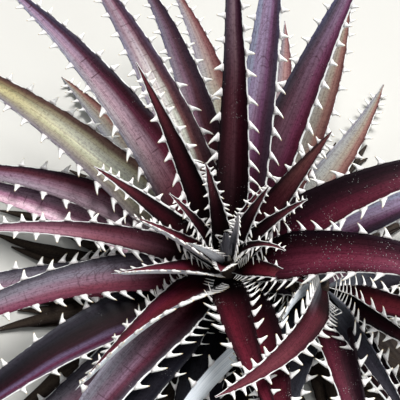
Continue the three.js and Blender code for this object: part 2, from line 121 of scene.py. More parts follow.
# How long a spine is, as a share of a full-grown one, along the leaf.
SPINE_SIZE = [(0.0, 0.95), (0.15, 1.15), (0.3, 1.02), (0.5, 0.92), (1.0, 0.6)]
SPARSE = {"slate": 0.7, "sable": 0.85}  # old shaded leaves have fewer and shorter spines
SPINE_TILT = 0.25  # radians that a spine leans up from the blade
SPINE_LIFTS = (0, 0.35, 0.7, 1.1)  # what it leans more, until it is clear of its neighbours
CLEAR_FROM = 0.8  # it has to be clear from this far out of its foot
CLEAR_PAST = 0.3  # to this far past its tip
NEEDLE_SHARE = 0.3  # how thick a needle at the base is, as a share of a broad spine
NEEDLES_TO = 0.12  # shares of the leaf's length between which needles give way to broad spines
BROAD_FROM = 0.36
HOOK_CURVE = 1.5  # how a spine's lean grows towards its tip
SEED = 7

# Rows as in the solids: place down the stem, heading, sweep, rise, bend, length, width, roll, twist,
# then the leaf's set of colours with their painted light. Only leaf_17 runs straighter and twists more, so
# that more of its back shows.
YOUNG_LEAVES = [
    (2, 30, 3, 80, 12, 61, 9, 0, 0, "silver"),
    (3, 257, 8, 60, -4, 46, 13, 0, 0, "red"),
    (4, 207, 2, 71, -12, 60, 12, 50, 0, "young"),
    (5, 49, -8, 64, -12, 67, 16, 0, 0, "young"),
    (6, 10, -50, 80, -66, 58, 9, 0, 0, "young"),
    (7, 141, 13, 61, -17, 69, 12, 0, 0, "young"),
    (8, 72, -34, 49, -20, 60, 11, 0, 0, "young"),
    (9, 105, 10, 66, -9, 80, 17, 0, 0, "young"),
    (10, 30, -17, 58, -24, 77, 15, 0, 0, "young"),
    (11, 174, 2, 56, -18, 85, 18, 22, 20, "red"),
]
INNER_LEAVES = [
    (12, 340, -11, 36, -24, 60, 17, 0, 0, "red"),
    (13, 206, 0, 46, -12, 101, 22, 14, 38, "edged"),
    (14, 154, 8, 47, -12, 119, 23, 0, 0, "ink"),
    (15, 40, -1, 50, -6, 122, 28, 0, 0, "dusky"),
    (16, 274, 17, 37, -20, 156, 29, 0, 0, "crimson"),
    (17, 118, 7, 52, -14, 157, 23, 0, 0, "ink"),
    (18, 225, 11, 36, -22, 155, 29, 6, 66, "edged"),
    (19, 167, 22, 26, -26, 188, 23, 0, 0, "rust"),
    (20, 84, 12, 40, -14, 260, 28, 0, 0, "dark"),
]
OUTER_LEAVES = [
    (21, 356, -28, 48, -64, 230, 44, 0, 0, "wine"),
    (22, 292, -32, 34, -18, 212, 38, 0, 0, "crimson"),
    (23, 229, 14, 20, -24, 252, 38, 0, 0, "grape"),
    (24, 30, -26, 33, -46, 245, 42, 0, 0, "garnet"),
    (25, 76, 10, 35, -12, 282, 38, 0, 0, "purple"),
    (26, 121, 22, 34, -21, 270, 43, 0, 0, "pink"),
    (27, 184, 34, 22, -32, 245, 36, 0, 0, "mauve"),
    (28, 145, 34, 18, -32, 248, 35, 0, 0, "ash"),
    (29, 66, -6, 32, -14, 270, 42, 0, 0, "plum"),
    (30, 106, 22, 28, -16, 273, 42, 0, 0, "cream"),
    (31, 205, 22, 16, -22, 248, 42, 0, 0, "sable"),
    (32, 94, 26, 20, -15, 265, 37, 0, 0, "dusk"),
    (33, 137, 17, 24, -19, 285, 45, 0, 0, "pale"),
    (33, 54, 26, 17, -15, 255, 38, 0, 0, "olive"),
    (36, 84, 34, 14, -13, 260, 40, 0, 0, "ember"),
    (36, 157, 10, 14, -18, 240, 36, 0, 0, "rose"),
    (36, 237, 2, 15, -16, 242, 36, 0, 0, "slate"),
    (39, 66, 24, 8, -6, 225, 36, 0, 0, "salmon"),
    (40, 257, 0, -0.6, -6, 215, 40, 0, 0, "slate"),
    (42, 44, 22, 0, -6, 220, 38, 0, 0, "olive"),
    (41, 219, 0, -0.8, -5, 215, 44, 0, 0, "mauve"),
    (35, 19, 8, 13, -13, 235, 36, 0, 0, "purple"),
    (40, 2, 4, -0.6, -6, 215, 38, 0, 0, "mauve"),
    (35, 288, -4, 13, -14, 205, 34, 0, 0, "slate"),
    (41, 178, 6, -0.5, -5.5, 225, 42, 0, 0, "mauve"),
    (42, 120, 10, 0, -6, 225, 44, 0, 0, "olive"),
]
OFFSET_LEAVES = [
    (1, 258, -45, 42, -18, 168, 24, -56, 46, "madder"),
    (2, 215, 34, 52, -44, 60, 20, 84, 0, "young"),
    (3, 248, 10, 36, -6, 56, 9, 80, 0, "young"),
    (4, 232, 4, 8, -10, 95, 22, 0, 0, "slate"),
    (5, 318, -4, 24, -14, 110, 15, 30, 0, "young"),
    (6, 296, -4, 20, -12, 120, 18, 30, 0, "steel"),
    (7, 278, 2, 18, -16, 150, 30, 0, 0, "garnet"),
    (8, 336, -4, 30, -26, 130, 24, 0, 0, "red"),
    (9, 250, 4, 8, -10, 140, 26, 0, 0, "steel"),
    (10, 8, 4, 20, -24, 120, 22, 0, 0, "steel"),
    (11, 300, 0, 8, -10, 140, 28, 0, 0, "ink"),
    (9, 214, 26, 6, -8, 175, 28, 60, 110, "dark"),
]
BUD_LEAVES = [
    (0, 255, 0, 86, 16, 34, 9, 0, 0, "bud"),
    (0, 336, 0, 84, 2, 24, 6, 0, 0, "bud"),
    (0, 115, 0, 84, 2, 28, 7, 0, 0, "bud"),
    (0, 188, 0, 82, 4, 24, 6, 0, 0, "bud"),
]

PIECES = bpy.context.scene.collection


def between(table, x):
    """The value at x on the straight lines between a table's points."""
    for (x0, y0), (x1, y1) in zip(table, table[1:]):
        if x <= x1:
            return y0 + (y1 - y0) * (x - x0) / (x1 - x0)
    return table[-1][1]


# ---- the leaves' lines ----
def direction(heading, slope):
    flat = math.cos(slope)
    return Vector((flat * math.cos(heading), flat * math.sin(heading), math.sin(slope)))


def smooth(x):
    """From 0 to 1 as x does, level at both ends."""
    x = max(0.0, min(1.0, x))
    return x * x * (3 - 2 * x)


class Leaf:
    """One leaf's measurements, and the points of its blade."""

    def __init__(self, name, row, channel, foot, stem_radius, height, thick=THICK_SHARE):
        (_, self.heading, self.sweep, self.rise, self.bend, self.length, self.width, self.roll,
         self.twist, self.finish) = row
        self.name = name
        self.channel = channel
        self.stem_radius = stem_radius
        self.bulk = thick * self.width
        self.dice = random.Random(SEED + sum(ord(letter) for letter in name))
        turn = math.radians(self.heading)
        self.root = Vector((foot.x, foot.y, height)) + stem_radius * direction(turn, 0)
        self.path = self.line()
        self.places = {side: self.spine_places(side) for side in (-1, 1)}

    def line(self):
        """The middle of the upper face, with the blade's directions, at each row of cells."""
        path = []
        at = self.root.copy()
        for i in range(ALONG + 1):
            v = i / ALONG
            heading = math.radians(self.heading + self.sweep * v)
            slope = math.radians(self.rise + self.bend * v)
            roll = math.radians(self.roll + self.twist * v)
            along = direction(heading, slope)
            level = Vector((-math.sin(heading), math.cos(heading), 0))
            face = along.cross(level)
            side = level * math.cos(roll) + face * math.sin(roll)
            path.append((at.copy(), along, side, along.cross(side)))
            mid = v + 0.5 / ALONG
            step = direction(
                math.radians(self.heading + self.sweep * mid), math.radians(self.rise + self.bend * mid)
            )
            at += step * (self.length / ALONG)
        return path

    def frame_at(self, v):
        i = min(ALONG - 1, int(v * ALONG))
        share = v * ALONG - i
        return [a.lerp(b, share) for a, b in zip(self.path[i], self.path[i + 1])]

    def half_width(self, v):
        base = min(1, BASE_SHARE + (1 - BASE_SHARE) * v / FULL_AT)
        share = base * max(0, 1 - v) ** TAPER_POWER * (1 + TAPER_SWELL * v)
        return max(TIP_HALF, self.width * share / 2)

    def spine_places(self, side):
        """Shares of the length at which one margin's spines stand, a little unevenly."""
        places = []
        grown = min(1, SHORT_LEAF_PITCH + self.length / LONG_LEAF_PITCH)
        pitch = self.dice.uniform(*LEAF_SPREAD) * grown / SPARSE.get(self.finish, 1)
        v = SPINES_FROM + self.dice.uniform(*FIRST_SPREAD) * SPINE_PITCH[0][1] / self.length
        while v < SPINES_TO:
            places.append(v)
            v += between(SPINE_PITCH, v) * pitch * self.dice.uniform(*PITCH_SPREAD) / self.length
        return places

    def point(self, u, v, skin):
        """u runs from -1 to 1 across, v from base to tip, skin from 0 on the upper face to 1 below."""
        at, along, side, up = self.frame_at(v)
        half = self.half_width(v)
        dip = half * self.channel
        grown = min(1, BASE_THIN + BASE_GROWTH * v) * max(0, 1 - v) ** TIP_THINNING
        fade = min(1, half / THIN_HALF)
        height = dip * abs(u) ** CHANNEL_CURVE
        depth = (MARGIN_THICK + self.bulk * grown * (1 - u * u)) * fade
        clasp = max(0, 1 - v / CLASP_END) / (2 * self.stem_radius + CLASP_SLACK)
        across = u * half
        back = across * across * clasp + BASE_SINK * max(0, 1 - v / SINK_END)
        edge = 0
        if abs(u) > MARGIN_FROM:
            edge = MARGIN_ROUND * math.sin(math.pi * skin) + self.scallop(u, v)
        out = across + math.copysign(edge, u)
        return at + side * out + up * (height - depth * skin) - along * back

    def scallop(self, u, v):
        """How far the margin stands out where a spine grows from it."""
        nearest = min(abs(v - place) for place in self.places[1 if u > 0 else -1])
        return SCALLOP * self.spine_size(v) * math.exp(-((nearest * self.length / SCALLOP_REACH) ** 2))

    def spine_size(self, v):
        grown = min(1, SHORT_LEAF_SPINE + self.length / LONG_LEAF_SPINE)
        return grown * between(SPINE_SIZE, v) * SPARSE.get(self.finish, 1)


def leaves_of(rows, channel, prefix, first, foot, crown, radius, step_down, step_out):
    """The leaves of one set of rows, each rooted lower and further out by its place down the stem."""
    made = []
    for n, row in enumerate(rows):
        down = row[0]
        name = prefix + str(first + n).zfill(2)
        made.append(Leaf(name, row, channel, foot, radius + step_out * down, crown - step_down * down))
    return made


def all_leaves():
    main = (MAIN_FOOT, CROWN_HEIGHT, CROWN_RADIUS, LEAF_STEP_DOWN, LEAF_STEP_OUT)
    side = (OFFSET_CROWN, OFFSET_CROWN.z, OFFSET_CROWN_RADIUS, OFFSET_STEP_DOWN, OFFSET_STEP_OUT)
    inner_first = 1 + len(YOUNG_LEAVES)
    outer_first = inner_first + len(INNER_LEAVES)
    return (
        leaves_of(YOUNG_LEAVES, YOUNG_CHANNEL, "leaf_", 1, *main)
        + leaves_of(INNER_LEAVES, INNER_CHANNEL, "leaf_", inner_first, *main)
        + leaves_of(OUTER_LEAVES, OUTER_CHANNEL, "leaf_", outer_first, *main)
        + leaves_of(OFFSET_LEAVES, OFFSET_CHANNEL, "offset_leaf_", 1, *side)
    )


# ---- modelling by hand ----
def edit(obj):
    bpy.ops.object.select_all(action="DESELECT")
    obj.select_set(True)
    bpy.context.view_layer.objects.active = obj
    bpy.ops.object.mode_set(mode="EDIT")
    bpy.ops.mesh.select_mode(type="VERT")


def done():
    bpy.ops.object.mode_set(mode="OBJECT")
    bpy.ops.object.select_all(action="DESELECT")


def model_blank(across, along):
    """A flat strip two units wide and long and one unit thick: the form of every blade."""
    bpy.ops.object.select_all(action="DESELECT")
    bpy.ops.mesh.primitive_grid_add(x_subdivisions=across, y_subdivisions=along, size=2)
    blank = bpy.context.object
    edit(blank)
    bpy.ops.mesh.select_all(action="SELECT")
    for _ in range(SKIN_LAYERS):
        bpy.ops.mesh.extrude_region_move(TRANSFORM_OT_translate={"value": (0, 0, -1 / SKIN_LAYERS)})
    bpy.ops.mesh.select_all(action="SELECT")
    bpy.ops.mesh.normals_make_consistent(inside=False)
    done()
    map_blade(blank.data)
    return blank


def map_blade(mesh):
    """The blade's own map, and material 0 on its upper face and margins and 1 on its back."""
    while mesh.uv_layers:
        mesh.uv_layers.remove(mesh.uv_layers[0])
    layer = mesh.uv_layers.new(name="blade")
    for loop in mesh.loops:
        x, y, _ = mesh.vertices[loop.vertex_index].co
        layer.data[loop.index].uv = ((1 - x) / 2, (y + 1) / 2)
    for face in mesh.polygons:
        face.material_index = 1 if face.normal.z < -0.5 else 0
        face.use_smooth = True


# A spine's rings: how far out, half the width along the margin and half the thickness, each as a
# share of its length.
SPINE_RINGS = [
    (-0.16, 0.56, 0.24),
    (0.02, 0.48, 0.24),
    (0.16, 0.34, 0.21),
    (0.36, 0.25, 0.185),
    (0.66, 0.18, 0.145),
    (0.88, 0.12, 0.1),
    (1.0, 0.045, 0.04),
]
SPINE_SIDES = 6


def model_spine():
    """A thorn one unit long, out along +X on a flared foot; its hook is added where it stands."""
    bpy.ops.object.select_all(action="DESELECT")
    bpy.ops.mesh.primitive_circle_add(
        vertices=SPINE_SIDES, radius=1, fill_type="NGON", rotation=(0, math.pi / 2, 0)
    )
    spine = bpy.context.object
    bpy.ops.object.transform_apply(location=False, rotation=True, scale=True)
    edit(spine)
    bpy.ops.mesh.select_all(action="SELECT")
    out, foot, thick = SPINE_RINGS[0]
    bpy.ops.transform.resize(value=(1, foot, thick))
    bpy.ops.transform.translate(value=(out, 0, 0))
    for (a, wide, deep), (b, next_wide, next_deep) in zip(SPINE_RINGS, SPINE_RINGS[1:]):
        bpy.ops.mesh.extrude_region_move(TRANSFORM_OT_translate={"value": (b - a, 0, 0)})
        bpy.ops.transform.resize(
            value=(1, next_wide / wide, next_deep / deep), center_override=(b, 0, 0)
        )
    bpy.ops.mesh.select_all(action="SELECT")
    bpy.ops.mesh.normals_make_consistent(inside=False)
    done()
    return spine


# ---- spines on a leaf ----
def spine_frame(leaf, side, v, lift):
    """Where a spine's foot sits, and its directions out, along the margin and through its thickness."""
    _, along, across, up = leaf.frame_at(v)
    foot = leaf.point(side, v, 0.5)
    tilt = SPINE_TILT + lift
    out = across * side * math.cos(tilt) + up * math.sin(tilt)
    return foot, out, along, out.cross(along)


def is_clear(tree, foot, tip):
    """Whether the line of a spine meets no blade."""
    reach = (tip - foot).length
    start = foot + (tip - foot) * (CLEAR_FROM / reach)
    hit = tree.ray_cast(start, (tip - foot).normalized(), reach - CLEAR_FROM + CLEAR_PAST)
    return hit[0] is None


def spine_points(form, leaf, side, v, lift):
    foot, out, along, through = spine_frame(leaf, side, v, lift)
    size = SPINE_LENGTH * leaf.spine_size(v)
    broad = smooth((v - NEEDLES_TO) / (BROAD_FROM - NEEDLES_TO))
    slim = NEEDLE_SHARE + (1 - NEEDLE_SHARE) * broad
    hook = between(HOOK, v)
    return [
        foot
        + out * (x * size)
        + along * ((y * slim - hook * max(0, x) ** HOOK_CURVE) * size)
        + through * (z * size * slim)
        for x, y, z in form
    ]


def clear_spine(form, tip, tree, leaf, side, v):
    """The points of one spine at the least tilt that keeps it clear of its neighbours, if any does."""
    for lift in SPINE_LIFTS:
        placed = spine_points(form, leaf, side, v, lift)
        foot = spine_frame(leaf, side, v, lift)[0]
        if is_clear(tree, foot, placed[tip]):
            return placed
    return None


def add_spines(leaf, spine, tree):
    """All of one leaf's spines as one mesh; a spine with no room is left out."""
    form = [tuple(v.co) for v in spine.data.vertices]
    skin = [tuple(p.vertices) for p in spine.data.polygons]
    tip = max(range(len(form)), key=lambda i: form[i][0])
    points = []
    faces = []
    shares = []
    for side in (-1, 1):
        for v in leaf.places[side]:
            placed = clear_spine(form, tip, tree, leaf, side, v)
            if placed:
                start = len(points)
                points += placed
                faces += [tuple(start + i for i in face) for face in skin]
                shares += [x for x, _, _ in form]
    mesh = bpy.data.meshes.new(leaf.name + "_spines")
    mesh.from_pydata([p * MM for p in points], [], faces)
    layer = mesh.uv_layers.new(name="blade")
    for loop in mesh.loops:
        layer.data[loop.index].uv = (0.5, shares[loop.vertex_index])
    for face in mesh.polygons:
        face.use_smooth = True
        face.material_index = 2
    obj = bpy.data.objects.new(mesh.name, mesh)
    PIECES.objects.link(obj)
    return obj


def recalculate(obj):
    """Turn all faces outwards."""
    edit(obj)
    bpy.ops.mesh.select_all(action="SELECT")
    bpy.ops.mesh.normals_make_consistent(inside=False)
    done()


def blade_from(blank, leaf):
    """A copy of the blank, bent and tapered to one leaf's measurements."""
    mesh = blank.data.copy()
    mesh.name = leaf.name + "_blade"
    for vertex in mesh.vertices:
        x, y, z = vertex.co
        vertex.co = leaf.point(x, (y + 1) / 2, -z) * MM
    obj = bpy.data.objects.new(mesh.name, mesh)
    PIECES.objects.link(obj)
    return obj


def join(parts, name):
    bpy.ops.object.select_all(action="DESELECT")
    for part in parts:
        part.select_set(True)
    bpy.context.view_layer.objects.active = parts[0]
    bpy.ops.object.join()
    parts[0].name = name
    return parts[0]


# ---- materials ----
def colour(code):
    """A colour written as on screen, rrggbb, as Blender's linear values."""
    shares = [int(code[i : i + 2], 16) / 255 for i in (0, 2, 4)]
    return (*[c / 12.92 if c <= 0.04045 else ((c + 0.055) / 1.055) ** 2.4 for c in shares], 1)


class Nodes:
    """Short ways to place and join shader nodes in one tree."""

    def __init__(self, tree):
        self.tree = tree

    def add(self, kind, **settings):
        node = self.tree.nodes.new(kind)
        for key, value in settings.items():
            setattr(node, key, value)
        return node

    def link(self, a, b):
        self.tree.links.new(a, b)

    def put(self, socket, value):
        if value is None:
            return
        if isinstance(value, bpy.types.NodeSocket):
            self.link(value, socket)
        else:
            socket.default_value = value

    def math(self, operation, a, b=None, clamp=False):
        node = self.add("ShaderNodeMath", operation=operation, use_clamp=clamp)
        for socket, value in zip(node.inputs, (a, b)):
            self.put(socket, value)
        return node.outputs[0]

    def mix(self, amount, a, b, blend="MIX"):
        node = self.add("ShaderNodeMix", data_type="RGBA", blend_type=blend)
        self.put(node.inputs[0], amount)
        self.put(node.inputs[6], a)
        self.put(node.inputs[7], b)
        return node.outputs[2]

    def ramp(self, value, stops, interpolation="LINEAR"):
        """Shades at rising places, each written as on screen, rrggbb."""
        node = self.add("ShaderNodeValToRGB")
        ramp = node.color_ramp
        ramp.interpolation = interpolation
        while len(ramp.elements) > 1:
            ramp.elements.remove(ramp.elements[-1])
        place, code = stops[0]
        ramp.elements[0].position = place
        ramp.elements[0].color = colour(code)
        for place, code in stops[1:]:
            ramp.elements.new(place).color = colour(code)
        self.put(node.inputs[0], value)
        return node.outputs[0]

    def rise(self, value, start, end):
        """0 up to start, 1 from end on, smooth between."""
        return self.ramp(value, [(start, "000000"), (end, "ffffff")], "EASE")

    def bands(self, across, codes):
        """Colours in even steps from one margin to the other."""
        shades = codes.split()
        return self.ramp(across, [(n / (len(shades) - 1), code) for n, code in enumerate(shades)], "EASE")

    def noise(self, vector, scale, detail=2.0, rough=0.5):
        node = self.add("ShaderNodeTexNoise")
        self.put(node.inputs["Vector"], vector)
        node.inputs["Scale"].default_value = scale
        node.inputs["Detail"].default_value = detail
        node.inputs["Roughness"].default_value = rough
        return node.outputs["Fac"]

    def patches(self, scale, detail, limit, contrast):
        """1 in scattered patches and 0 between them; a higher limit leaves fewer of them."""
        over = self.math("SUBTRACT", self.noise(self.solid(), scale, detail), limit)
        return self.math("MULTIPLY", over, contrast, clamp=True)

    def blade(self):
        """The blade's own map: flat vector, across 0 to 1, along 0 to 1."""
        uv = self.add("ShaderNodeUVMap", uv_map="blade").outputs[0]
        parts = self.add("ShaderNodeSeparateXYZ")
        self.link(uv, parts.inputs[0])
        return uv, parts.outputs[0], parts.outputs[1]

    def solid(self):
        return self.add("ShaderNodeTexCoord").outputs["Object"]

    def stretched(self, vector, scale):
        node = self.add("ShaderNodeMapping")
        node.inputs["Scale"].default_value = scale
        self.link(vector, node.inputs[0])
        return node.outputs[0]

    def bump(self, shader, height, strength, distance):
        node = self.add("ShaderNodeBump")
        node.inputs["Strength"].default_value = strength
        node.inputs["Distance"].default_value = distance
        self.link(height, node.inputs["Height"])
        self.link(node.outputs[0], shader.inputs["Normal"])


def new_group(name, inputs, outputs):
    group = bpy.data.node_groups.new(name, "ShaderNodeTree")
    for label, kind in inputs:
        group.interface.new_socket(name=label, in_out="INPUT", socket_type=kind)
    for label, kind in outputs:
        group.interface.new_socket(name=label, in_out="OUTPUT", socket_type=kind)
    nodes = Nodes(group)
    return group, nodes, nodes.add("NodeGroupInput").outputs, nodes.add("NodeGroupOutput").inputs


VALUE = "NodeSocketFloat"
VECTOR = "NodeSocketVector"
SHADE = "NodeSocketColor"

# Noise scales are in cells a metre on the plant and cells a leaf on the blade's own map.
BAND_WANDER = 0.2  # how far a leaf's bands wander, as a share of its width
STREAKS = [  # label, how the noise is stretched across and along a blade, its scale
    ("Lines", (11, 0.5, 1), 6),
    ("Stripes", (3.2, 0.35, 1), 5),
    ("Veins", (3, 0.9, 1), 5),
]
VEIN_SHARPNESS = 45
MARGIN_RAGGED = 0.14  # how unevenly the pale line's inner edge runs
MARGIN_BREAK = 0.04  # width taken off the line, so that a thin one breaks up
MARGIN_SHARPNESS = 30
# The line keeps an even width, so it takes a growing share of a blade that narrows from base to tip.
BASE_WIDTH = 1.1
TIP_WIDTH = 0.36
SPECK_SCALE = 620
SPECK_SIZE = 0.15
GRAIN_SCALE = 520
RUBBED_SHARE = 1.1  # how much of the bloom is uneven
RUBBED_LEAST = 0.2  # and how much of it is everywhere
BLOOM_GROWS = (0.08, 0.5)  # shares of the length between which it sets in
BOW_DEPTH = 0.12  # how far an imprinted bow runs along the leaf, as a share of its length
IMPRINTS = [  # label, how much it bows, how many a leaf, how thick, how much is left out, how far across
    ("Cracks", 0.0, 19, 0.05, 0.5, 0.42),
    ("Bows", 1.0, 42, 0.17, 0.56, 0.75),
]


def leaf_place_group():
    """Where a point lies on its blade: across, with bands that wander a little, and along."""
    group, n, _, out = new_group("leaf_place", [], [("Across", VALUE), ("Along", VALUE), ("Flat", VECTOR)])
    flat, across, along = n.blade()
    wander = n.math("SUBTRACT", n.noise(n.solid(), scale=22), 0.5)
    n.link(n.math("ADD", across, n.math("MULTIPLY", wander, BAND_WANDER)), out["Across"])
    n.link(along, out["Along"])
    n.link(flat, out["Flat"])
    return group


def streak_group():
    """Fine lines that run the length of a blade, a few broader stripes, and thin wandering veins."""
    group, n, given, out = new_group(
        "leaf_streaks", [("Flat", VECTOR)], [("Lines", VALUE), ("Stripes", VALUE), ("Veins", VALUE)]
    )
    noises = {}
    for label, stretch, scale in STREAKS:
        noises[label] = n.noise(n.stretched(given["Flat"], stretch), scale, detail=3, rough=0.6)
    n.link(noises["Lines"], out["Lines"])
    n.link(noises["Stripes"], out["Stripes"])
    off_line = n.math("ABSOLUTE", n.math("SUBTRACT", noises["Veins"], 0.5))
    vein = n.math("SUBTRACT", 1, n.math("MULTIPLY", off_line, VEIN_SHARPNESS), clamp=True)
    patches = n.patches(scale=30, detail=1, limit=0.46, contrast=8)
    n.link(n.math("MULTIPLY", vein, patches), out["Veins"])
    return group


def margin_group():
    """The pale horny line along both margins, broken where Width is small; Lean favours one side."""
    group, n, given, out = new_group("leaf_margin", [("Width", VALUE), ("Lean", VALUE)], [("Line", VALUE)])
    _, across, along = n.blade()
    off_middle = n.math("ABSOLUTE", n.math("SUBTRACT", n.math("MULTIPLY", across, 2), 1))
    uneven = n.math("SUBTRACT", n.noise(n.solid(), scale=90, detail=3, rough=0.6), 0.5)
    width = n.math("SUBTRACT", given["Width"], MARGIN_BREAK)
    width = n.math("ADD", n.math("MULTIPLY", uneven, MARGIN_RAGGED), width)
    lean = n.math("MULTIPLY", n.math("SUBTRACT", across, 0.5), given["Lean"])
    narrow = n.math("MAXIMUM", n.math("SUBTRACT", BASE_WIDTH, along), TIP_WIDTH)
    share = n.math("DIVIDE", n.math("ADD", width, lean), narrow)
    inside = n.math("SUBTRACT", n.math("ADD", off_middle, share), 1)
    n.link(n.math("MULTIPLY", inside, MARGIN_SHARPNESS, clamp=True), out["Line"])
    return group


def speck_group():
    """Small white scurf specks, thick in some places and missing in others, and a fine grain."""
    group, n, given, out = new_group(
        "leaf_specks", [("Amount", VALUE)], [("Specks", VALUE), ("Grain", SHADE)]
    )
    cells = n.add("ShaderNodeTexVoronoi")
    n.link(n.solid(), cells.inputs["Vector"])
    cells.inputs["Scale"].default_value = SPECK_SCALE
    dot = n.math("LESS_THAN", cells.outputs["Distance"], SPECK_SIZE)
    patches = n.patches(scale=70, detail=2, limit=n.math("SUBTRACT", 1, given["Amount"]), contrast=6)
    n.link(n.math("MULTIPLY", dot, patches), out["Specks"])
    grain = n.noise(n.solid(), GRAIN_SCALE, rough=0.7)
    n.link(n.ramp(grain, [(0.32, "c4bcc0"), (0.52, "ffffff")]), out["Grain"])
    return group


def bloom_group():
    """The grey-lilac wax that veils a leaf from its middle outwards, uneven as if rubbed."""
    group, n, given, out = new_group("leaf_bloom", [("Along", VALUE), ("Amount", VALUE)], [("Veil", VALUE)])
    rubbed = n.math("MULTIPLY", n.noise(n.solid(), scale=36, detail=4, rough=0.6), RUBBED_SHARE)
    rubbed = n.math("ADD", rubbed, RUBBED_LEAST)
    grown = n.rise(given["Along"], *BLOOM_GROWS)
    n.link(n.math("MULTIPLY", n.math("MULTIPLY", rubbed, grown), given["Amount"], clamp=True), out["Veil"])
    return group


def imprint_group():
    """Short cracks across a blade, and rows of bows pressed into it by the leaf once folded over it."""
    group, n, given, out = new_group(
        "leaf_imprints", [("Across", VALUE), ("Along", VALUE)], [("Cracks", VALUE), ("Bows", VALUE)]
    )
    apart = n.math("ABSOLUTE", n.math("SUBTRACT", n.math("MULTIPLY", given["Across"], 2), 1))
    bow = n.math("MULTIPLY", n.math("POWER", apart, 2), BOW_DEPTH)
    for label, shift, count, thick, limit, reach in IMPRINTS:
        place = n.math("ADD", given["Along"], n.math("MULTIPLY", bow, shift))
        phase = n.math("FRACT", n.math("MULTIPLY", place, count))
        off_line = n.math("ABSOLUTE", n.math("SUBTRACT", phase, 0.5))
        line = n.math("SUBTRACT", 1, n.math("DIVIDE", off_line, thick))
        broken = n.patches(scale=45, detail=1, limit=limit, contrast=14)
        here = n.math("MULTIPLY", broken, n.math("LESS_THAN", apart, reach))
        n.link(n.math("MULTIPLY", n.math("MAXIMUM", line, 0), here), out[label])
    return group


GROUPS = {}


def make_groups():
    GROUPS.update(
        leaf_place=leaf_place_group(),
        leaf_streaks=streak_group(),
        leaf_margin=margin_group(),
        leaf_specks=speck_group(),
        leaf_bloom=bloom_group(),
        leaf_imprints=imprint_group(),
    )


def place_group(n, name, **given):
    node = n.add("ShaderNodeGroup")
    node.node_tree = GROUPS[name]
    for label, value in given.items():
        n.put(node.inputs[label], value)
    return node.outputs


def new_material(name, roughness):
    material = bpy.data.materials.new(name)
    material.use_nodes = True
    shader = material.node_tree.nodes["Principled BSDF"]
    shader.inputs["Roughness"].default_value = roughness
    return material, Nodes(material.node_tree), shader
